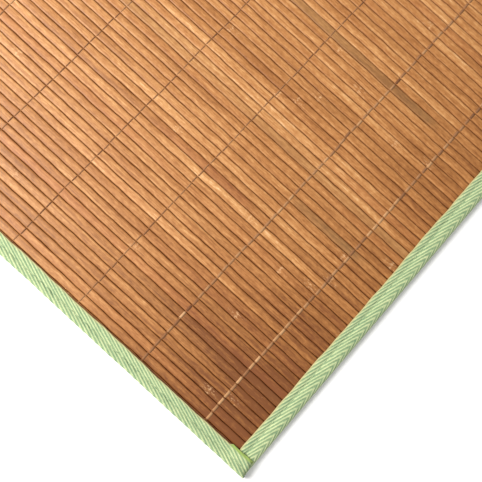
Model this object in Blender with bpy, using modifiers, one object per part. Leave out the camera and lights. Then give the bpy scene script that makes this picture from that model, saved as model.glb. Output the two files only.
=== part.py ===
"""A bamboo rug: a flat field of narrow slats, bound on its four sides with a folded cotton tape.

Metres, +Z up. The rug lies flat on z = 0 with its middle at the origin. Its long side is X, and the slats
run along Y. The two side tapes, at the ends of X, lap over the ends of the front and back tapes.
"""

import math
import random

import bmesh
import bpy

MM = 0.001

# The whole rug
RUG_LENGTH = 900 * MM
RUG_WIDTH = 600 * MM
CLEARANCE = 0.3 * MM  # between pieces that touch on the real rug

# The slats. Neighbours stay joined by a thin web at mid height, where the weaving threads hold them.
SLAT_PITCH = 5.2 * MM
SLAT_THICKNESS = 2.2 * MM
SLAT_WEB = 0.6 * MM
GROOVE_WIDTH = 0.9 * MM
GROOVE_WANDER = 0.12 * MM  # how far a groove lies off its even place
TOP_UNEVENNESS = 0.12 * MM  # how much lower than the others a slat may lie
FIRST_GROOVE = 1.75 * MM  # from the left tape's inner edge to the first groove that shows
NARROWEST_SLAT = 2.5 * MM  # the outermost slats are split to fit under the tape
SLAT_SEED = 11

# The tape. One width of tape is folded over each edge, further onto the top at the slats' ends.
TAPE_WIDTH = 27 * MM
TAPE_THICKNESS = 1.0 * MM
END_TAPE_TOP = 11.6 * MM  # on top of the rug, front and back
SIDE_TAPE_TOP = 9.4 * MM  # on top of the rug, left and right
FOLD_STEPS = 8
LAP_RAMP = 1.8 * MM  # how long a side tape takes to climb onto the tape under it

# Levels and sizes that follow
FIELD_BOTTOM = TAPE_THICKNESS + CLEARANCE
FIELD_TOP = FIELD_BOTTOM + SLAT_THICKNESS
FOLD_RADIUS = (FIELD_TOP + CLEARANCE + TAPE_THICKNESS) / 2
FOLD_MIDDLE_RADIUS = FOLD_RADIUS - TAPE_THICKNESS / 2
FIELD_INSET = FOLD_RADIUS + CLEARANCE
LAP_HEIGHT = TAPE_THICKNESS + CLEARANCE


def tape_under(top):
    """How far the tape reaches under the rug when it reaches `top` over it."""
    return TAPE_WIDTH - (top - FOLD_RADIUS) - math.pi * FOLD_MIDDLE_RADIUS + FOLD_RADIUS


def material(name, colour, roughness):
    mat = bpy.data.materials.new(name)
    mat.use_nodes = True
    shader = mat.node_tree.nodes["Principled BSDF"]
    shader.inputs["Base Color"].default_value = (*colour, 1.0)
    shader.inputs["Roughness"].default_value = roughness
    shader.inputs["Metallic"].default_value = 0.0
    return mat


def groove_places():
    """X of each groove between two slats, from the left tape to the right."""
    wander = random.Random(SLAT_SEED)
    first = -RUG_LENGTH / 2 + SIDE_TAPE_TOP + FIRST_GROOVE
    limit = RUG_LENGTH / 2 - FIELD_INSET - NARROWEST_SLAT
    before = math.floor((first + limit) / SLAT_PITCH)
    after = math.floor((limit - first) / SLAT_PITCH)
    return [
        first + step * SLAT_PITCH + wander.uniform(-GROOVE_WANDER, GROOVE_WANDER)
        for step in range(-before, after + 1)
    ]


def face_of_slats(grooves, level, web_level, inward):
    """One face of the field, left to right, as (x, z). `inward` is -1 on the top and 1 on the underside."""
    uneven = random.Random(SLAT_SEED + inward)
    half = RUG_LENGTH / 2 - FIELD_INSET
    height = level + inward * uneven.uniform(0, TOP_UNEVENNESS)
    points = [(-half, height)]
    for groove in grooves:
        points.append((groove - GROOVE_WIDTH / 2, height))
        points.append((groove, web_level))
        height = level + inward * uneven.uniform(0, TOP_UNEVENNESS)
        points.append((groove + GROOVE_WIDTH / 2, height))
    points.append((half, height))
    return points


def slat_field(collection, mat):
    """All the slats as one piece: their outline, seen from their ends, drawn out along Y."""
    grooves = groove_places()
    middle = (FIELD_BOTTOM + FIELD_TOP) / 2
    top = face_of_slats(grooves, FIELD_TOP, middle + SLAT_WEB / 2, -1)
    underside = face_of_slats(grooves, FIELD_BOTTOM, middle - SLAT_WEB / 2, 1)
    outline = underside + top[::-1]

    curve = bpy.data.curves.new("slat_field", "CURVE")
    curve.dimensions = "2D"
    curve.fill_mode = "BOTH"
    curve.extrude = RUG_WIDTH / 2 - FIELD_INSET
    spline = curve.splines.new("POLY")
    spline.points.add(len(outline) - 1)
    for point, (x, z) in zip(spline.points, outline):
        point.co = (x, z, 0.0, 1.0)
    spline.use_cyclic_u = True
    curve.materials.append(mat)

    field = bpy.data.objects.new("slat_field", curve)
    field.rotation_euler = (math.radians(90), 0, 0)
    collection.objects.link(field)
    return field


def tape_section(top, lift):
    """The tape's middle line as (inward, z), from its edge under the rug to its edge on top."""
    low = TAPE_THICKNESS / 2
    high = 2 * FOLD_RADIUS - TAPE_THICKNESS / 2 + lift
    points = [(tape_under(top), low)]
    for step in range(FOLD_STEPS + 1):
        angle = math.pi * step / FOLD_STEPS
        inward = FOLD_RADIUS - FOLD_MIDDLE_RADIUS * math.sin(angle)
        points.append((inward, (low + high) / 2 - (high - low) / 2 * math.cos(angle)))
    points.append((top, high))
    return points


def folded_tape(name, collection, mat, half_length, top, place, turn, steps=()):
    """A strip of tape folded over one edge of the rug.

    It is made along X with the rug's edge at y = 0 and the rug towards +Y, then turned and placed. Each of
    `steps` is (distance from the middle, lift of the top layer, whether the layer under the rug ends there).
    """
    half_rows = [*steps, (half_length, steps[-1][1] if steps else 0.0, False)]
    rows = [(-along, lift, ends) for along, lift, ends in reversed(half_rows)] + half_rows
    columns = len(tape_section(top, 0.0))

    mesh = bpy.data.meshes.new(name)
    bm = bmesh.new()
    bmesh.ops.create_grid(bm, x_segments=len(rows) - 1, y_segments=columns - 1, size=1.0)
    bm.verts.ensure_lookup_table()
    for column in range(columns):
        for row, (along, lift, _) in enumerate(rows):
            inward, z = tape_section(top, lift)[column]
            bm.verts[column * len(rows) + row].co = (along, inward, z)

    # The layer under the rug stops where the neighbouring tape's layer begins.
    for end in (along for along, _, ends in steps if ends):
        beyond = [
            face
            for face in bm.faces
            if abs(face.calc_center_median().x) > end
            and face.calc_center_median().y > FOLD_RADIUS
            and face.calc_center_median().z < TAPE_THICKNESS
        ]
        bmesh.ops.delete(bm, geom=beyond, context="FACES")
    bm.to_mesh(mesh)
    bm.free()
    mesh.materials.append(mat)

    tape = bpy.data.objects.new(name, mesh)
    thickness = tape.modifiers.new("thickness", "SOLIDIFY")
    thickness.thickness = TAPE_THICKNESS
    thickness.offset = 0.0
    thickness.use_even_offset = True
    tape.location = place
    tape.rotation_euler = (0, 0, math.radians(turn))
    collection.objects.link(tape)
    return tape


def end_tapes(collection, mat):
    """The tapes over the slats' ends. They stop inside the folds of the side tapes."""
    half_length = RUG_LENGTH / 2 - FOLD_RADIUS - 2 * CLEARANCE
    for name, side, turn in (("tape_front", -1, 0), ("tape_back", 1, 180)):
        folded_tape(name, collection, mat, half_length, END_TAPE_TOP, (0, side * RUG_WIDTH / 2, 0), turn)


def side_tapes(collection, mat):
    """The tapes along the outermost slats. At each corner the top layer climbs onto the end tape."""
    half_length = RUG_WIDTH / 2
    under_ends = half_length - tape_under(END_TAPE_TOP) - CLEARANCE
    on_top = half_length - END_TAPE_TOP - 2 * CLEARANCE
    steps = (
        (under_ends, 0.0, True),
        (on_top - LAP_RAMP, 0.0, False),
        (on_top, LAP_HEIGHT, False),
    )
    for name, side, turn in (("tape_left", -1, -90), ("tape_right", 1, 90)):
        place = (side * RUG_LENGTH / 2, 0, 0)
        folded_tape(name, collection, mat, half_length, SIDE_TAPE_TOP, place, turn, steps)


def main():
    for obj in list(bpy.data.objects):
        bpy.data.objects.remove(obj, do_unlink=True)
    collection = bpy.data.collections.new("bamboo_rug")
    bpy.context.scene.collection.children.link(collection)

    bamboo = material("bamboo", (0.42, 0.19, 0.07), 0.55)
    tape = material("herringbone_tape", (0.41, 0.58, 0.30), 0.9)
    slat_field(collection, bamboo)
    end_tapes(collection, tape)
    side_tapes(collection, tape)


main()
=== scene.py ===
# %% [markdown]
# # A bamboo rug, slat by slat
# The rug is a field of narrow bamboo slats, woven together by rows of thread and bound on all four sides
# with a pale green herringbone tape. This lesson dresses a plain CAD model of it. First comes the frame,
# which holds the real sizes, and everything made later is worked out from it, so nothing has to be fitted
# afterwards.

import math

import bpy
import numpy as np
from mathutils import Matrix, Vector


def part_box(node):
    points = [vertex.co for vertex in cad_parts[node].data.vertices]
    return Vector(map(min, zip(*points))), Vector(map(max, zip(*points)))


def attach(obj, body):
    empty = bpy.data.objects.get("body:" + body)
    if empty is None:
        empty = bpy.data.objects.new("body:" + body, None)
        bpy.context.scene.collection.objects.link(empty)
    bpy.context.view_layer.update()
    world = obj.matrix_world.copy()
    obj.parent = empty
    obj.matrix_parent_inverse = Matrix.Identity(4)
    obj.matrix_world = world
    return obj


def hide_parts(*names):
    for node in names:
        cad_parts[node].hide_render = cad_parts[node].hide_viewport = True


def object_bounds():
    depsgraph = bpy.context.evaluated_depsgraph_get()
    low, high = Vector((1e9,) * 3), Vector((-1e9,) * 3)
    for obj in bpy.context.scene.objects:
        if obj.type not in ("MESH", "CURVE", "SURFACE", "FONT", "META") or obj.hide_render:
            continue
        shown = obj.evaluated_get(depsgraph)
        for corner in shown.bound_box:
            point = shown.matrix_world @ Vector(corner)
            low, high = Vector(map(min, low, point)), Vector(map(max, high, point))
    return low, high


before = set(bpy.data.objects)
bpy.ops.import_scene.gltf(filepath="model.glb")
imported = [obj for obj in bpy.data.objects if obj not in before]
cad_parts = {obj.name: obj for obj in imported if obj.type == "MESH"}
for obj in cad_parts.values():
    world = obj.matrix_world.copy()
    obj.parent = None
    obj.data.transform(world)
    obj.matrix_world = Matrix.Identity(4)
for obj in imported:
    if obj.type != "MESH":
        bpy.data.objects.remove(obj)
cad_low, cad_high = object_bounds()
MM = 0.001
print("CAD box in mm:", [round(c / MM, 1) for c in (*cad_low, *cad_high)])

# %% [markdown]
# ## Sizes
# A rug maker thinks in millimetres, so the working unit here is the millimetre, and each mesh is scaled to
# metres when it is made. The outer size, the slat field, the tapes' height and how far a side tape is lifted
# where it laps over another come from the boxes of the CAD nodes. The places of the grooves between the
# slats are read from the slat field itself: its groove bottoms are the only points just above its middle
# height.

# %% Sizes from the frame
HALF_LENGTH = cad_high.x / MM
HALF_WIDTH = cad_high.y / MM
field_low, field_high = (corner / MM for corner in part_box("slat_field"))
TAPE_TOP_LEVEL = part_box("tape_front")[1].z / MM
LAP_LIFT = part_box("tape_left")[1].z / MM - TAPE_TOP_LEVEL
FOLD_RADIUS = TAPE_TOP_LEVEL / 2
SLAT_THICKNESS = field_high.z - field_low.z

field_points = np.array([vert.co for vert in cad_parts["slat_field"].data.vertices]) / MM
above_middle = field_points[:, 2] - (field_low.z + field_high.z) / 2
in_groove = (above_middle > 0) & (above_middle < SLAT_THICKNESS / 4)
grooves = np.unique(field_points[in_groove, 0].round(3))
# The photograph has the first visible groove a little nearer to the left tape than the frame does.
GROOVE_SHIFT_MM = -0.8
slat_edges = np.array([field_low.x, *(grooves + GROOVE_SHIFT_MM), field_high.x])
print(len(slat_edges) - 1, "slats,", round(float(np.diff(grooves).mean()), 2), "mm apart")

# %% [markdown]
# ## Where the photographed corner is
# The photograph looks down on one corner of the rug. Measured along the slats and across them, everything
# there is easiest to place from the corner of the bare bamboo, where the inner edges of two tapes meet. How
# far the tapes reach onto the slats was measured on the photograph, and the CAD model has the same two
# sizes.

# %% The corner of the bare bamboo
END_TAPE_TOP = 11.6
SIDE_TAPE_TOP = 9.4
CORNER_X = -HALF_LENGTH + SIDE_TAPE_TOP
CORNER_Y = -HALF_WIDTH + END_TAPE_TOP
print("bare corner at", round(CORNER_X, 1), round(CORNER_Y, 1), "mm")

# %% [markdown]
# ## The camera
# The rows of thread and the slats are two sets of parallel lines at right angles, which fixes how the
# camera was held: about 36 cm above the slats and 8 degrees off straight down. It is placed by where it
# stands and by the point that its lens axis meets, both from the corner of the bare bamboo, and it is
# turned by the direction that is up in the picture. A 46 mm lens on a 36 mm sensor has the photograph's
# perspective. The distances hold for slats 5.2 mm wide, the one size that sets the scale of everything
# here.

# %% Camera
CAMERA_FROM_CORNER = Vector((40.1, 73.3, 357.4))
AIM_FROM_CORNER = Vector((88.8, 78.7, 0.0))
PICTURE_UP_DEGREES = 42.26
LENS_MM = 46.3

corner_point = Vector((CORNER_X, CORNER_Y, field_high.z))
look = (AIM_FROM_CORNER - CAMERA_FROM_CORNER).normalized()
up_angle = math.radians(PICTURE_UP_DEGREES)
picture_up = Vector((math.cos(up_angle), math.sin(up_angle), 0))
side = look.cross(picture_up).normalized()
turned = Matrix((side, side.cross(look), -look)).transposed()

camera_data = bpy.data.cameras.new("camera")
camera_data.lens = LENS_MM
camera_data.sensor_width = 36
camera_data.clip_start = 0.01
camera = bpy.data.objects.new("camera", camera_data)
camera.matrix_world = Matrix.Translation((corner_point + CAMERA_FROM_CORNER) * MM) @ turned.to_4x4()
bpy.context.scene.collection.objects.link(camera)
bpy.context.scene.camera = camera
print("camera at", [round(c, 3) for c in camera.location])

# %% [markdown]
# ## Colours and nodes
# Colours are picked as sRGB hex values, as in any paint program, but Blender mixes light in linear values,
# so one function turns them. Materials are small node trees. One helper adds a node, sets it and links it,
# which keeps each material readable from top to bottom.


# %% Colour and node helpers
def linear(hex_colour):
    """An sRGB hex colour such as "#A0643A" as linear red, green, blue and alpha."""
    parts = [int(hex_colour[at : at + 2], 16) / 255 for at in (1, 3, 5)]
    return (*[p / 12.92 if p <= 0.04045 else ((p + 0.055) / 1.055) ** 2.4 for p in parts], 1.0)


def node(tree, kind, inputs=None, **settings):
    """Adds a node; `inputs` gives each named or numbered socket a value, or another node's output."""
    made = tree.nodes.new(kind)
    for name, value in settings.items():
        setattr(made, name, value)
    for name, value in (inputs or {}).items():
        if isinstance(value, bpy.types.NodeSocket):
            tree.links.new(value, made.inputs[name])
        else:
            made.inputs[name].default_value = value
    return made


def new_material(name):
    """An empty material, and its node tree with only the output in it."""
    material = bpy.data.materials.new(name)
    material.use_nodes = True
    tree = material.node_tree
    tree.nodes.clear()
    tree.nodes.new("ShaderNodeOutputMaterial")
    return material, tree


def finish_material(tree, shader):
    tree.links.new(shader.outputs[0], tree.nodes["Material Output"].inputs["Surface"])


def ramp(tree, factor, stops):
    """A colour ramp; `stops` are (place, hex colour)."""
    made = node(tree, "ShaderNodeValToRGB", {0: factor})
    for place, colour in stops[1:-1]:
        made.color_ramp.elements.new(place)
    for element, (place, colour) in zip(made.color_ramp.elements, stops):
        element.position = place
        element.color = linear(colour)
    return made.outputs[0]


def maths(tree, operation, first, second=0.0, third=0.0, clamp=False):
    values = {0: first, 1: second, 2: third}
    return node(tree, "ShaderNodeMath", values, operation=operation, use_clamp=clamp).outputs[0]


def fade(tree, value, start, end, low=0.0, high=1.0):
    """Goes smoothly from low at `start` to high at `end`."""
    limits = {0: value, 1: start, 2: end, 3: low, 4: high}
    return node(tree, "ShaderNodeMapRange", limits, interpolation_type="SMOOTHSTEP").outputs[0]


print("helpers ready")

# %% [markdown]
# ## Meshes from arrays
# The rug has 172 slats and about six hundred tape ribs. Making them one by one with operators would take
# minutes, so each piece is one array of points and one of faces, worked out with numpy from real sizes.
# Values that the materials need, such as how far along its slat a point lies, are stored with the points as
# attributes.


# %% Mesh helpers
def grid_quads(rows, columns, start=0, around=False):
    """Faces of a grid of points, row after row; `around` joins the last column to the first."""
    last_column = columns if around else columns - 1
    row, column = np.meshgrid(np.arange(rows - 1), np.arange(last_column), indexing="ij")
    after = (column + 1) % columns
    here, below = row * columns, (row + 1) * columns
    corners = [here + column, here + after, below + after, below + column]
    return start + np.stack(corners, axis=-1).reshape(-1, 4)


def mesh_piece(name, points, quads, material, attributes):
    """One smooth mesh in metres from points in mm. Each attribute is (values, numbers for each point)."""
    mesh = bpy.data.meshes.new(name)
    mesh.vertices.add(len(points))
    mesh.vertices.foreach_set("co", (np.asarray(points) * MM).astype(np.float32).ravel())
    mesh.loops.add(quads.size)
    mesh.loops.foreach_set("vertex_index", quads.astype(np.int32).ravel())
    mesh.polygons.add(len(quads))
    mesh.polygons.foreach_set("loop_start", np.arange(0, quads.size, 4, dtype=np.int32))
    mesh.update(calc_edges=True)
    mesh.validate()
    mesh.shade_smooth()
    for key, (values, width) in attributes.items():
        layer = mesh.attributes.new(key, "FLOAT" if width == 1 else "FLOAT_VECTOR", "POINT")
        layer.data.foreach_set("value" if width == 1 else "vector", np.asarray(values, np.float32).ravel())
    mesh.materials.append(material)
    piece = bpy.data.objects.new(name, mesh)
    bpy.context.scene.collection.objects.link(piece)
    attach(piece, "root")
    mesh.calc_loop_triangles()
    print(name, len(mesh.loop_triangles), "triangles")
    return piece


def waves(along, rng, lengths, amplitude):
    """An uneven line: sines of the given wavelengths in mm, added up, reaching about `amplitude`."""
    total = np.zeros_like(along, dtype=float)
    for length in lengths:
        total += np.sin(2 * math.pi * (along / length * rng.uniform(0.85, 1.15) + rng.uniform(0, 1)))
    return total * amplitude / len(lengths) ** 0.5


def step(value, start, end):
    """0 before start, 1 after end, and smooth between."""
    share = np.clip((value - start) / (end - start), 0, 1)
    return share * share * (3 - 2 * share)


print("mesh helpers ready")

# %% [markdown]
# ## Bamboo, planed and carbonised
# Carbonised bamboo is steamed under pressure until its sugars brown, so it is caramel all through, and then
# planed into slats and thinly sealed. Three things make it bamboo and not wood: fine fibres that run dead
# straight along the slat, each slat with a tone of its own, and a pale ringed node where the cane had a
# joint. The fibres are 0.3 mm wide in the real cane and are drawn 0.6 mm wide here, so that they show at
# this distance.

# %% Bamboo material
# How wide and how long the grains of each pattern are, in mm
FIBRE_MM = (0.6, 11.0)
MOTTLE_MM = (1.3, 3.6)
STREAK_MM = (2.2, 80.0)
FLECK_MM = (0.8, 2.4)


def attribute_parts(tree, name):
    """The three numbers of an attribute that is stored with the mesh."""
    stored = node(tree, "ShaderNodeAttribute", attribute_name=name).outputs["Vector"]
    return node(tree, "ShaderNodeSeparateXYZ", {0: stored}).outputs


def stretched_noise(tree, place, size, detail, roughness=0.5):
    """Noise with grains `size` wide and long, in mm, on the slats' own coordinates."""
    per_mm = (1 / size[0], 1 / size[1], 1.0)
    scaled = node(tree, "ShaderNodeVectorMath", {0: place, 1: per_mm}, operation="MULTIPLY").outputs[0]
    settings = {"Vector": scaled, "Scale": 1.0, "Detail": detail, "Roughness": roughness}
    return node(tree, "ShaderNodeTexNoise", settings).outputs[0]


def blended(tree, share, below, hex_colour):
    """Lays a plain colour over another by a share from 0 to 1."""
    settings = {0: share, 6: below, 7: linear(hex_colour)}
    return node(tree, "ShaderNodeMix", settings, data_type="RGBA").outputs[2]


def added(tree, value, pattern, amount, clamp=False):
    """Adds a pattern that runs from 0 to 1, as much to both sides of `value`."""
    centred = maths(tree, "SUBTRACT", pattern, 0.5)
    return maths(tree, "MULTIPLY_ADD", centred, amount, value, clamp)


def bamboo_material():
    material, tree = new_material("carbonised_bamboo_planed")
    place = node(tree, "ShaderNodeAttribute", attribute_name="grain_place").outputs["Vector"]
    tone, warmth, edge = attribute_parts(tree, "slat_look")
    offset = node(tree, "ShaderNodeAttribute", attribute_name="node_offset").outputs["Fac"]

    fibres = stretched_noise(tree, place, FIBRE_MM, 3.0, 0.6)
    mottle = stretched_noise(tree, place, MOTTLE_MM, 4.0, 0.65)
    streaks = stretched_noise(tree, place, STREAK_MM, 2.0)
    flecks = stretched_noise(tree, place, FLECK_MM, 2.0, 0.7)

    # The tone of the slat, then its streaks, mottling and fibres, pick the brown.
    shade = added(tree, tone, streaks, 0.7)
    shade = added(tree, shade, mottle, 0.75)
    shade = added(tree, shade, fibres, 0.75, clamp=True)
    browns = ((0.0, "#6C3B11"), (0.28, "#8C5725"), (0.52, "#A56D38"), (0.78, "#BF8A53"), (1.0, "#DAB080"))
    brown = ramp(tree, shade, browns)
    # Some slats lean towards red, others towards the grey-green of the cane's skin.
    red = blended(tree, fade(tree, warmth, 0.0, 1.0, 0.0, 0.5), brown, "#A55C36")
    green = blended(tree, fade(tree, warmth, 0.0, -1.0, 0.0, 0.6), red, "#836A42")

    # At a node the skin is pale and flecked for a few millimetres either side of a thin ring.
    away = maths(tree, "ABSOLUTE", offset)
    around_node = fade(tree, away, 8.0, 1.0)
    pale_flecks = maths(tree, "MULTIPLY", around_node, fade(tree, flecks, 0.54, 0.68))
    dark_flecks = maths(tree, "MULTIPLY", around_node, fade(tree, flecks, 0.44, 0.3))
    ring = maths(tree, "MULTIPLY", fade(tree, away, 0.9, 0.3), fade(tree, flecks, 0.42, 0.6))
    flecked = maths(tree, "MULTIPLY", pale_flecks, 0.5)
    ringed = maths(tree, "MULTIPLY", ring, 0.5)
    pale = maths(tree, "MAXIMUM", flecked, ringed)
    noded = blended(tree, pale, green, "#DDB080")
    noded = blended(tree, maths(tree, "MULTIPLY", dark_flecks, 0.4), noded, "#6A3A16")

    # Painted shade: the slat's eased edges are darkened, and its sides down in the gap between two slats are
    # painted darkest of all.
    edged = blended(tree, fade(tree, edge, 0.72, 1.0, 0.0, 0.4), noded, "#6A3610")
    colour = blended(tree, fade(tree, edge, 1.0, 1.3, 0.0, 0.9), edged, "#5A2C0C")

    height = maths(tree, "MULTIPLY_ADD", ring, 1.2, maths(tree, "MULTIPLY_ADD", flecks, around_node, fibres))
    bump = node(tree, "ShaderNodeBump", {"Strength": 0.4, "Distance": 0.00012, "Height": height}).outputs[0]
    roughness = fade(tree, fibres, 0.2, 0.8, 0.44, 0.58)
    sealed = {"Specular IOR Level": 0.38, "IOR": 1.5, "Coat Weight": 0.1, "Coat Roughness": 0.42}
    surface = {"Base Color": colour, "Roughness": roughness, "Normal": bump}
    finish_material(tree, node(tree, "ShaderNodeBsdfPrincipled", {**surface, **sealed}))
    return material


bamboo = bamboo_material()
print("made", bamboo.name)

# %% [markdown]
# ## The slats
# A slat is split from the cane, planed flat and its long edges are eased, but it keeps the cane's slight
# waves, so the dark gaps between slats are never quite straight. Each one is a closed outline of thirteen
# points, drawn out along the slat in steps of about 5 mm. Two neighbours share one wavy line, where their
# sides touch half way down, and above it each has an edge that wanders by itself. The slats are joined into
# five meshes, because a hundred and seventy separate objects would be slow to work with.

# %% Slat shape
GAP_MM = 0.36
ROWS_PER_SLAT = 112
LINE_WANDER_MM = 0.13
EDGE_WANDER_MM = 0.08
TOUCH_MM = 0.02
# Across, as a share of half the slat's top; out to the line shared with the neighbour; up, as a share of the
# thickness
SLAT_OUTLINE = (
    (-0.86, 0.0, 0.03), (-1.00, -0.4, 0.16), (-1.00, -1.0, 0.42), (-1.00, 0.0, 0.80), (-0.93, 0.0, 0.945),
    (-0.62, 0.0, 0.99), (0.0, 0.0, 1.0), (0.62, 0.0, 0.99), (0.93, 0.0, 0.945), (1.00, 0.0, 0.80),
    (1.00, 1.0, 0.42), (1.00, 0.4, 0.16), (0.86, 0.0, 0.03),
)
SLAT_SEED = 23
across_share, reach_share, up_share = np.array(SLAT_OUTLINE).T
slat_along = np.linspace(field_low.y, field_high.y, ROWS_PER_SLAT)

# %% [markdown]
# Some slats of the photographed corner stand out: a grey-brown stretch here, a pinkish or a greenish slat
# there. A short table gives those by where they lie, from the corner of the bare bamboo, and all the others
# get their tone from a seeded random generator, so the rug is the same in each run.

# %% Slat tones
# Across the slats from the corner, then the stretch along the slat, in mm, and what it adds to tone and
# warmth
STAINS = (
    # across, from, to, tone, warmth
    (128.0, 20.0, 75.0, -0.22, -0.4),
    (183.0, 0.0, 90.0, -0.18, -0.4),
    (109.0, 88.0, 165.0, -0.12, 0.4),
    (222.0, 40.0, 190.0, -0.16, -0.4),
    (102.0, 0.0, 300.0, 0.10, 0.1),
    (152.0, 20.0, 230.0, 0.10, -0.1),
    (158.0, 60.0, 300.0, 0.12, 0.0),
    (66.0, 60.0, 200.0, 0.10, 0.2),
    (33.0, 15.0, 70.0, -0.08, 0.1),
    (5.0, 0.0, 200.0, -0.10, 0.2),
)
TONE_SPREAD = 0.06
WARMTH_SPREAD = 0.13
# The photograph is darker towards this corner. One picture can't tell whether that is the bamboo or the
# light, and here the bamboo gets it: how much, and how far from the corner in mm.
CORNER_TONE = -0.4
CORNER_REACH_MM = 150.0
# In the same way it is a little darker towards the slats' ends.
END_TONE = -0.16
END_REACH_MM = 60.0


def slat_tones(middle, along, rng):
    """Tone from 0, dark, to 1, pale, and warmth from -1, greenish, to 1, reddish, along one slat."""
    tone = 0.52 + rng.normal(0, TONE_SPREAD) + waves(along, rng, (70, 180, 400), 0.05)
    warmth = rng.normal(0, WARMTH_SPREAD) + waves(along, rng, (120, 300), 0.08)
    from_bare_corner = np.hypot(along - CORNER_Y, middle - CORNER_X)
    from_binding = HALF_WIDTH - END_TAPE_TOP - np.abs(along)
    tone = tone + CORNER_TONE * (1 - step(from_bare_corner, 0.0, CORNER_REACH_MM))
    tone = tone + END_TONE * (1 - step(from_binding, 0.0, END_REACH_MM))
    for across, start, end, lighter, redder in STAINS:
        if abs(middle - CORNER_X - across) < 2.6:
            from_corner = along - CORNER_Y
            inside = step(from_corner, start - 6, start + 6) * (1 - step(from_corner, end - 8, end + 8))
            tone = tone + lighter * inside
            warmth = warmth + redder * inside
    return tone, np.clip(warmth, -1, 1)


def cane_nodes(rng):
    """Where the nodes of one slat's cane lie along it, in mm."""
    first = field_low.y - rng.uniform(0, 340)
    return np.cumsum([first, *rng.uniform(240, 400, 4)])


print(len(STAINS), "stretches placed by hand")


# %% Build the slats
def shared_line(number):
    """The wavy line that two neighbouring slats share, in mm from its groove in the frame."""
    rng = np.random.default_rng(SLAT_SEED + 1000 + number)
    return waves(slat_along, rng, (13, 23, 47), LINE_WANDER_MM) + waves(slat_along, rng, (260, 420), 0.06)


def one_slat(left, right, number):
    """Points, and the values that the bamboo material reads, for one slat."""
    rng = np.random.default_rng(SLAT_SEED + number)
    along = slat_along
    left_line, right_line = left + shared_line(number), right + shared_line(number + 1)
    left_gap, right_gap = (
        np.maximum(GAP_MM / 2 + waves(along, rng, (15, 27, 60), EDGE_WANDER_MM), 0.08) for _ in range(2)
    )
    middle = (left_line + left_gap + right_line - right_gap) / 2
    half = (right_line - right_gap - left_line - left_gap) / 2
    lower = rng.uniform(0, 0.12) + waves(along, rng, (90, 240), 0.03)
    roll = rng.normal(0, 0.012)

    nodes_at = cane_nodes(rng)
    nearest = np.abs(along[:, None] - nodes_at[None, :]).argmin(axis=1)
    offset = along - nodes_at[nearest]
    swell = 0.07 * np.exp(-((offset / 5.0) ** 2))

    to_line = np.where(reach_share < 0, left_gap[:, None], right_gap[:, None]) + TOUCH_MM
    across_mm = half[:, None] * across_share
    x = middle[:, None] + across_mm + to_line * reach_share
    z = field_low.z + (SLAT_THICKNESS - lower + swell)[:, None] * up_share + roll * across_mm
    y = np.broadcast_to(along[:, None], x.shape)
    tone, warmth = slat_tones((left + right) / 2, along, rng)

    points = np.stack([x, y, z], axis=-1)
    # Each slat reads another part of the noise, so no two neighbours have the same grain.
    place = np.stack([across_mm, y + rng.uniform(0, 5000), np.full_like(x, number * 7.3)], axis=-1)
    wide = np.ones_like(x)
    # How near a point lies to the slat's edge and how far down its side into the gap; the bamboo material
    # paints shade by it.
    edge = (np.abs(across_share) + 0.4 * np.abs(reach_share)) * wide
    look_values = np.stack([tone[:, None] * wide, warmth[:, None] * wide, edge], axis=-1)
    return points, place, look_values, (offset[:, None] * wide)[..., None]


SLAT_PIECES = 5
columns = len(SLAT_OUTLINE)
points_per_slat = ROWS_PER_SLAT * columns
slat_count = len(slat_edges) - 1
for part, numbers in enumerate(np.array_split(np.arange(slat_count), SLAT_PIECES), start=1):
    slats = [one_slat(slat_edges[n], slat_edges[n + 1], int(n)) for n in numbers]
    starts = [at * points_per_slat for at in range(len(slats))]
    quads = [grid_quads(ROWS_PER_SLAT, columns, start, around=True) for start in starts]
    points, place, look_values, offset = (
        np.concatenate([slat[part_of].reshape(-1, slat[part_of].shape[-1]) for slat in slats])
        for part_of in range(4)
    )
    values = {"grain_place": (place, 3), "slat_look": (look_values, 3), "node_offset": (offset, 1)}
    piece = mesh_piece(f"slats_{part}", points, np.concatenate(quads)[:, ::-1], bamboo, values)
    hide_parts("slat_field")

# %% [markdown]
# ## Weaving threads
# A loom holds the slats with pairs of threads, one over and one under, which cross in each gap. Seen from
# above a row is a line of short dashes that dive between the slats. In the photograph the rows nearest the
# corner look pale and the others dark. One picture can't tell whether that is the thread or the light, so
# each row is simply given the tone that it shows. Each row is one flattened tube that rises over each slat
# and dips at each gap.

# %% Thread material
def thread_material():
    material, tree = new_material("beige_weaving_thread_spun")
    place = node(tree, "ShaderNodeAttribute", attribute_name="thread_place").outputs["Vector"]
    tone = node(tree, "ShaderNodeAttribute", attribute_name="thread_tone").outputs["Fac"]
    fuzz = stretched_noise(tree, place, (0.5, 0.5), 3.0, 0.7)
    shade = added(tree, tone, fuzz, 0.4, clamp=True)
    colour = ramp(tree, shade, ((0.0, "#6A3F1F"), (0.35, "#8C5F3A"), (0.7, "#B08458"), (1.0, "#CBA27A")))
    bump = node(tree, "ShaderNodeBump", {"Strength": 0.4, "Distance": 0.0001, "Height": fuzz}).outputs[0]
    surface = {"Base Color": colour, "Roughness": 0.9, "Normal": bump}
    finish_material(tree, node(tree, "ShaderNodeBsdfPrincipled", surface))
    return material


thread = thread_material()
print("made", thread.name)

# %% Thread rows
# The rows that the photograph shows: how far from the corner of the bare bamboo, in mm, their tone, from 0,
# dark, to 1, pale, and how wide the thread is pressed flat, in mm. The others go on at an even pitch.
SEEN_ROWS = ((25.7, 0.44, 1.8), (74.3, 0.42, 1.6), (123.0, 0.3, 0.8), (173.8, 0.2, 0.7), (224.1, 0.15, 0.7))
ROW_PITCH = 49.3
OTHER_ROWS = (0.35, 0.9)
THREAD_HIGH_MM = 0.26
THREAD_SIDES = 5

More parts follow.
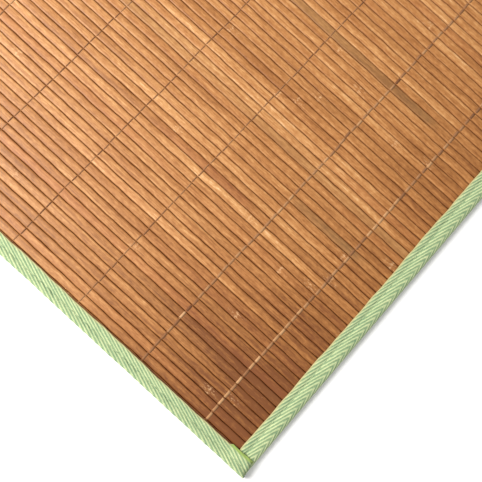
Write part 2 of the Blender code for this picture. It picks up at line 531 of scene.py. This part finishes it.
thread_rows = [(CORNER_Y + at, tone, wide) for at, tone, wide in SEEN_ROWS]
while thread_rows[-1][0] + ROW_PITCH < HALF_WIDTH - END_TAPE_TOP - ROW_PITCH / 2:
    thread_rows.append((thread_rows[-1][0] + ROW_PITCH, *OTHER_ROWS))

# Across one slat, as a share of its pitch, and whether the thread is out on the slat's face, 1, or in the
# gap, 0
THREAD_PATH = ((0.0, 0.0), (0.08, 0.6), (0.16, 0.97), (0.5, 1.0), (0.84, 0.97), (0.92, 0.6))


def thread_row(at, face, rng):
    """One thread along X: over the slats if face is 1, and under them if it is -1."""
    share, out = np.array(THREAD_PATH).T
    pitch = np.diff(slat_edges)
    x = (slat_edges[:-1, None] + pitch[:, None] * share).ravel()
    out = np.tile(out, len(pitch))
    level = field_high.z if face > 0 else field_low.z
    middle = (field_high.z + field_low.z) / 2
    z = middle + (level + face * 0.05 - middle) * (0.15 + 0.85 * out)
    shift = np.repeat(rng.normal(0, 0.16, len(pitch)), len(share))
    y = at + waves(x, rng, (60, 140, 300), 0.22) + shift
    each_slat = np.repeat(rng.normal(0, 0.16, len(pitch)), len(share))
    return np.stack([x, y, z], axis=-1), each_slat


def flat_tube(path, wide, high, sides, start):
    """Points and faces of a flattened tube along a path that runs mainly along X."""
    angle = 2 * math.pi * np.arange(sides) / sides
    points = path[:, None, :] + np.stack(
        [np.zeros(sides), np.cos(angle) * wide / 2, np.sin(angle) * high / 2], axis=-1
    )
    return points.reshape(-1, 3), grid_quads(len(path), sides, start, around=True)


for name, face in (("threads_over", 1), ("threads_under", -1)):
    rng = np.random.default_rng(5 + face)
    all_points, all_quads, all_tones, count = [], [], [], 0
    for at, row_tone, wide in thread_rows:
        path, each_slat = thread_row(at, face, rng)
        points, quads = flat_tube(path, wide, THREAD_HIGH_MM, THREAD_SIDES, count)
        all_points.append(points)
        all_quads.append(quads)
        all_tones.append(np.repeat(row_tone + each_slat, THREAD_SIDES))
        count += len(points)
    points = np.concatenate(all_points)
    values = {"thread_place": (points, 3), "thread_tone": (np.concatenate(all_tones), 1)}
    piece = mesh_piece(name, points, np.concatenate(all_quads), thread, values)
    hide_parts("slat_field")

# %% [markdown]
# ## Herringbone tape
# The binding is cotton tape in a herringbone twill: its ribs run slantwise, only 19 degrees off the tape's
# own length, and turn back every 9 mm, which draws a row of long V shapes along the tape. It is soft and
# matt. Its rib tops are painted paler and the hollows between them a deeper green, as painted highlight and
# painted shade. The woven edge, or selvage, is a thin cream line.
# The ribs are real relief here. Their slant and width were measured on the photograph, near the finest
# detail that it can show, so the real weave may be finer. The trick is to let the rows of the mesh follow
# the slant of the ribs, so that six rows a rib are enough to draw them cleanly.

# %% Tape material
def tape_material():
    material, tree = new_material("cotton_herringbone_tape_woven")
    across, rib, along = attribute_parts(tree, "weave_place")
    selvage, hole, turned_edge = attribute_parts(tree, "tape_look")

    # One rib is one turn of a cosine; the yarns that cross it break it up every 0.8 mm.
    rib_wave = maths(tree, "COSINE", maths(tree, "MULTIPLY", rib, 2 * math.pi))
    rib_height = maths(tree, "MULTIPLY_ADD", rib_wave, 0.5, 0.5)
    yarn_place = node(tree, "ShaderNodeCombineXYZ", {0: across, 1: along, 2: rib}).outputs[0]
    yarns = stretched_noise(tree, yarn_place, (0.8, 0.8), 2.0, 0.6)
    patches = stretched_noise(tree, yarn_place, (5.0, 9.0), 2.0)
    # Painted highlight and shade: the rib tops are made paler and the hollows between ribs darker; the yarns
    # and patches are the cloth's own unevenness.
    shade = maths(tree, "MULTIPLY_ADD", rib_height, 0.42, 0.28)
    shade = added(tree, shade, yarns, 0.6)
    shade = added(tree, shade, patches, 0.35, clamp=True)
    greens = ((0.0, "#4D7052"), (0.28, "#778F6A"), (0.55, "#9CAD7E"), (0.8, "#C4CA98"), (1.0, "#E0DDB8"))
    edged = blended(tree, maths(tree, "MULTIPLY", selvage, 0.7), ramp(tree, shade, greens), "#B3A470")
    folded = blended(tree, maths(tree, "MULTIPLY", turned_edge, 0.85), edged, "#839A45")
    # Painted shade: the needle holes along the sewing are painted a dark green-black.
    colour = blended(tree, maths(tree, "MULTIPLY", hole, 0.8), folded, "#2C4A30")

    height = maths(tree, "MULTIPLY_ADD", yarns, 0.6, rib_height)
    bump = node(tree, "ShaderNodeBump", {"Strength": 0.6, "Distance": 0.00015, "Height": height}).outputs[0]
    surface = {"Base Color": colour, "Roughness": 0.88, "Normal": bump}
    nap = {"Specular IOR Level": 0.3, "Sheen Weight": 0.12, "Sheen Roughness": 0.5}
    finish_material(tree, node(tree, "ShaderNodeBsdfPrincipled", {**surface, **nap}))
    return material


cotton = tape_material()
print("made", cotton.name)


# %% Sewing thread
def sewing_thread_material():
    material, tree = new_material("green_sewing_thread_mercerised")
    place = node(tree, "ShaderNodeAttribute", attribute_name="thread_place").outputs["Vector"]
    twist = stretched_noise(tree, place, (0.3, 0.3), 2.0, 0.6)
    colour = ramp(tree, twist, ((0.3, "#71895F"), (0.7, "#A9B98A")))
    bump = node(tree, "ShaderNodeBump", {"Strength": 0.4, "Distance": 0.0001, "Height": twist}).outputs[0]
    surface = {"Base Color": colour, "Roughness": 0.6, "Normal": bump, "Sheen Weight": 0.1}
    finish_material(tree, node(tree, "ShaderNodeBsdfPrincipled", surface))
    return material


sewing_thread = sewing_thread_material()
print("made", sewing_thread.name)

# %% [markdown]
# ## Folding the tape
# Seen from its end the tape is a narrow U: flat on top, round the rug's edge, and flat underneath. It is a
# little puffed up between the fold and the line of sewing, where the needle has pulled it down into a
# furrow. One function says where a point of the flat tape goes, from its distance across the tape and along
# it.

# %% Tape sizes
TAPE_THICK = 0.9
LEG_MM = 8.8
RIB_PITCH_MM = 4.9
RIB_HIGH_MM = 0.15
ROWS_PER_RIB = 6
RIB_SLANT = 1 / math.tan(math.radians(18.7))
STITCH_PITCH_MM = 5.8
# Across the tape from its edge on top, in mm: close together at the woven edge, the sewing and the fold
ACROSS = (
    0.0, 0.35, 0.8, 1.6, 2.5, 3.3, 3.9, 4.5, 5.1, 6.2, 7.6, 9.0, 10.2, 11.4, 12.6, 13.8, 15.0, 16.4, 18.0,
    20.5, 23.0, 25.5, 27.0, 28.3,
)
# How far the cloth stands out beside the sewing and at its woven edge, and how deep the sewing pulls it
PUFF_MM = 0.42
LIP_MM = 0.12
FURROW_MM = 0.4
# Where a side tape's layer under the rug stops, from the rug's edge, and the turn of its end over that edge
UNDER_STOPS_MM = 14.6
END_TURN_MM = 1.2


def folded(across, reach):
    """Where a point of the tape's outer face lies: (inward from the rug's edge, up) and the way it faces."""
    flat = reach - FOLD_RADIUS
    angle = np.clip((across - flat) / FOLD_RADIUS, 0, math.pi)
    beyond = np.maximum(across - flat - math.pi * FOLD_RADIUS, 0)
    inward = np.where(across < flat, reach - across, FOLD_RADIUS - FOLD_RADIUS * np.sin(angle) + beyond)
    up = FOLD_RADIUS + FOLD_RADIUS * np.cos(angle)
    return inward, up, -np.sin(angle), np.cos(angle)


def chevron(across):
    """How far a rib has moved along the tape at this place across it."""
    return RIB_SLANT * (LEG_MM - np.abs(np.mod(across, 2 * LEG_MM) - LEG_MM))


# %% One tape
def tape_points(half, reach, sewn_at, lap, seed, widened):
    """Rows of points along a tape. `lap` is 1 for a tape that climbs onto others at its ends."""
    rng = np.random.default_rng(seed)
    across = np.array(ACROSS)
    step_along = RIB_PITCH_MM / ROWS_PER_RIB
    margin = RIB_SLANT * LEG_MM
    end = half + 2.6 * lap
    rows = np.arange(math.floor((-end - margin) / step_along), math.ceil(end / step_along) + 1)
    along = rows[:, None] * step_along + chevron(across)[None, :]
    phase = np.broadcast_to(rows[:, None] / ROWS_PER_RIB, along.shape)

    # The layer under the rug stops where the neighbouring tape's begins.
    under = across > reach - FOLD_RADIUS + 0.8 * math.pi * FOLD_RADIUS
    limit = np.where(under & (lap > 0), half - UNDER_STOPS_MM, end)
    along = np.clip(along, -limit, limit)

    line = along[:, 0]
    edge_in = waves(line, rng, (17, 31, 52), 0.16) + waves(line, rng, (90, 170), 0.18)
    from_end = half - np.abs(along)
    wide = widened * step(-from_end, -18.0, -16.4) * (along > 0)
    on_top = np.clip(1 - across / (reach - FOLD_RADIUS), 0, 1)
    inward, up, face_in, face_up = folded(across[None, :] + 0 * along, reach)
    inward = inward + (edge_in[:, None] + wide) * on_top

    # Puffed between the fold and the sewing, and drawn down along the sewing
    uneven_puff = 1 + waves(line, rng, (23, 41, 77), 0.3)[:, None]
    puff = PUFF_MM * np.exp(-(((across - sewn_at - 3.4) / 2.2) ** 2)) * uneven_puff
    lip = LIP_MM * np.exp(-(((across - sewn_at * 0.45) / 1.0) ** 2))
    furrow = FURROW_MM * np.exp(-(((across - sewn_at) / 0.75) ** 2))
    # At each needle hole the cloth dips, and the tape material paints the hole dark as painted shade.
    along_stitch = np.mod(along + waves(along, rng, (29, 64), 0.5), STITCH_PITCH_MM)
    from_stitch = np.abs(along_stitch - STITCH_PITCH_MM / 2)
    at_needle = step(from_stitch, STITCH_PITCH_MM / 2 - 1.1, STITCH_PITCH_MM / 2 - 0.5)
    deep = rng.uniform(0, 1, 400)[np.clip((along / STITCH_PITCH_MM + 200).astype(int), 0, 399)]
    hole = at_needle * np.exp(-(((across - sewn_at) / 0.4) ** 2)) * deep
    rib_profile = 0.5 + 0.5 * np.cos(2 * math.pi * rows / ROWS_PER_RIB)
    relief = RIB_HIGH_MM * rib_profile[:, None] * step(across, 0.3, 1.0)
    out = puff + lip - furrow - 0.5 * hole + relief - RIB_HIGH_MM

    # A side tape climbs onto the tape that it laps over, and its end is turned down over the edge.
    lift = lap * LAP_LIFT * step(-from_end, -14.5, -11.8)
    share_up = up / (2 * FOLD_RADIUS)
    up = up + lift * share_up
    slanted_end = half - 1.6 + 1.9 * np.clip(across / LEG_MM, 0, 1)
    turn_from = slanted_end - END_TURN_MM
    past = np.maximum(np.abs(along) - turn_from, 0) * lap
    turn = np.clip(past / END_TURN_MM, 0, math.pi / 2)
    drop = END_TURN_MM * (1 - np.cos(turn)) + np.maximum(past - END_TURN_MM * math.pi / 2, 0)
    along_now = np.where(past > 0, np.sign(along) * (turn_from + END_TURN_MM * np.sin(turn)), along)
    up = np.maximum(up - drop * share_up, 0.0)

    points = np.stack([along_now, inward + face_in * out, np.maximum(up + face_up * out, 0.0)], axis=-1)
    weave = np.stack([np.broadcast_to(across, along.shape), phase, along], axis=-1)
    selvage = (1 - step(across, 0.35, 0.9)) + 0 * along
    folded_edge = (wide > 0.3 * max(widened, 0.01)) * (1 - step(across, 0.9, 1.7)) * (widened > 0)
    return points, weave, np.stack([selvage * (1 - 0.6 * folded_edge), hole, folded_edge], axis=-1)


def rolled_edges(points, weave, looks):
    """Adds the thickness of both woven edges: two columns that go down to what the tape lies on."""
    parts = [[], [], []]
    for column, way in ((0, -1), (-1, 1)):
        edge = points[:, column]
        inner, low = edge.copy(), edge.copy()
        inner[:, 2] += way * TAPE_THICK * 0.55
        inner[:, 1] += 0.1
        low[:, 2] += way * TAPE_THICK
        low[:, 1] -= 0.5
        pair = [inner, low] if way > 0 else [low, inner]
        parts[0].append(np.stack(pair, axis=1))
        parts[1].append(np.repeat(weave[:, column][:, None], 2, axis=1))
        parts[2].append(np.repeat(looks[:, column][:, None], 2, axis=1))
    return [
        np.concatenate([before, middle, after], axis=1)
        for (before, after), middle in zip(parts, (points, weave, looks))
    ]


def place_tape(points, side_x, side_y):
    """From a tape's own (along, inward, up) to the rug's X, Y and Z."""
    along, inward, up = np.moveaxis(points, -1, 0)
    if side_y:
        x, y = -side_y * along, side_y * (HALF_WIDTH - inward)
    else:
        x, y = side_x * (HALF_LENGTH - inward), side_x * along
    return np.stack([x, y, up], axis=-1)


# %% [markdown]
# Each tape is sewn down by a line of lockstitches, which lie sunk in the furrow that they pull into the
# cloth. Every stitch is a short tube that dips into a needle hole at both ends. It follows the tape's own
# surface, read from the column of points under the sewing, so it also climbs where one tape laps over
# another.

# %% Stitches
STITCH_WIDE_MM = 0.55
STITCH_HIGH_MM = 0.4
STITCH_SIDES = 6
STITCH_END_MM = 4.0
# Along one stitch, as a share of its pitch, and how far it stands out of the cloth in mm
STITCH_PATH = ((0.1, -0.35), (0.2, 0.02), (0.4, 0.1), (0.6, 0.1), (0.8, 0.02), (0.9, -0.35))


def stitch_paths(line, half):
    """One path (along, inward, up) for each stitch on a line of surface points."""
    share, out = np.array(STITCH_PATH).T
    paths = []
    for start in np.arange(-half, half - STITCH_PITCH_MM, STITCH_PITCH_MM):
        along = start + share * STITCH_PITCH_MM
        inward, up = (np.interp(along, line[:, 0], line[:, part]) for part in (1, 2))
        paths.append(np.stack([along, inward, up + out], axis=-1))
    return paths


print("stitches", STITCH_PITCH_MM, "mm apart")

# %% [markdown]
# The four tapes come from one table. The front and back tapes go over the slats' ends and stop inside the
# side tapes, which run to the rug's corners and lap over them. At the photographed corner the side tape's
# inner edge stands a little further in and shows a yellow-green band, which looks like an edge that was
# turned under.

# %% The four tapes
TAPES = (
    # node, side in X, side in Y, half length, reach on top, sewing from the edge, laps over, edge tucked in
    ("tape_front", 0, -1, HALF_LENGTH - FOLD_RADIUS - 0.6, END_TAPE_TOP, 3.9, 0, 0.0),
    ("tape_back", 0, 1, HALF_LENGTH - FOLD_RADIUS - 0.6, END_TAPE_TOP, 3.9, 0, 0.0),
    ("tape_left", -1, 0, HALF_WIDTH, SIDE_TAPE_TOP, 5.0, 1, 1.2),
    ("tape_right", 1, 0, HALF_WIDTH, SIDE_TAPE_TOP, 5.0, 1, 0.9),
)
stitch_points, stitch_quads = [], []
for seed, (name, side_x, side_y, half, reach, sewn_at, lap, tucked) in enumerate(TAPES):
    surface, weave, looks = tape_points(half, reach, sewn_at, lap, seed + 40, tucked)
    sewing_line = surface[:, np.abs(np.array(ACROSS) - sewn_at).argmin()]
    for path in stitch_paths(sewing_line[np.argsort(sewing_line[:, 0])], half - STITCH_END_MM):
        start = sum(len(points) for points in stitch_points)
        points, quads = flat_tube(path, STITCH_WIDE_MM, STITCH_HIGH_MM, STITCH_SIDES, start)
        stitch_points.append(place_tape(points, side_x, side_y))
        stitch_quads.append(quads)
    points, weave, looks = rolled_edges(surface, weave, looks)
    rows, columns = points.shape[:2]
    quads = grid_quads(rows, columns)
    flat_points = place_tape(points, side_x, side_y).reshape(-1, 3)
    corners = flat_points[quads]
    size = np.linalg.norm(np.cross(corners[:, 2] - corners[:, 0], corners[:, 3] - corners[:, 1]), axis=1)
    values = {"weave_place": (weave.reshape(-1, 3), 3), "tape_look": (looks.reshape(-1, 3), 3)}
    tape = mesh_piece(name + "_woven", flat_points, quads[size > 1e-4], cotton, values)
    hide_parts(name)

points = np.concatenate(stitch_points)
values = {"thread_place": (points, 3)}
quads = np.concatenate(stitch_quads)
mesh_piece("stitches", points, quads, sewing_thread, values)

# %% [markdown]
# ## Floor and light
# The rug lies on a plain pale floor. A soft window light stands beyond its back left corner, so that the
# light falls off towards the photographed corner, and so that the sealed bamboo catches its shine in the
# upper left of the picture. It is low enough to draw a thin shadow along each gap and under the tape's
# edge. A pale sky fills the shadows.

# %% Floor
def floor_material():
    material, tree = new_material("pale_matt_floor_painted")
    finish_material(
        tree, node(tree, "ShaderNodeBsdfPrincipled", {"Base Color": linear("#F4F3F2"), "Roughness": 0.8})
    )
    return material


bpy.ops.mesh.primitive_plane_add(size=8, location=(0, 0, 0))
floor = bpy.context.object
floor.name = "floor"
floor.data.materials.append(floor_material())

# %% Light
KEY_FROM_CORNER = Vector((-250.0, 750.0, 700.0))
KEY_AIM_FROM_CORNER = Vector((120.0, 150.0, 0.0))
KEY_SIZE = 0.6
KEY_WATTS = 18
SKY_STRENGTH = 0.62

key_data = bpy.data.lights.new("window_light", "AREA")
key_data.shape = "SQUARE"
key_data.size = KEY_SIZE
key_data.energy = KEY_WATTS
key = bpy.data.objects.new("window_light", key_data)
key.location = (corner_point + KEY_FROM_CORNER) * MM
key.rotation_euler = (KEY_AIM_FROM_CORNER - KEY_FROM_CORNER).to_track_quat("-Z", "Y").to_euler()
bpy.context.scene.collection.objects.link(key)

sky = bpy.data.worlds.new("pale_sky")
sky.use_nodes = True
sky.node_tree.nodes["Background"].inputs["Color"].default_value = linear("#FFFFFF")
sky.node_tree.nodes["Background"].inputs["Strength"].default_value = SKY_STRENGTH
bpy.context.scene.world = sky
bpy.context.scene.view_settings.view_transform = "Standard"
print("light and floor ready")
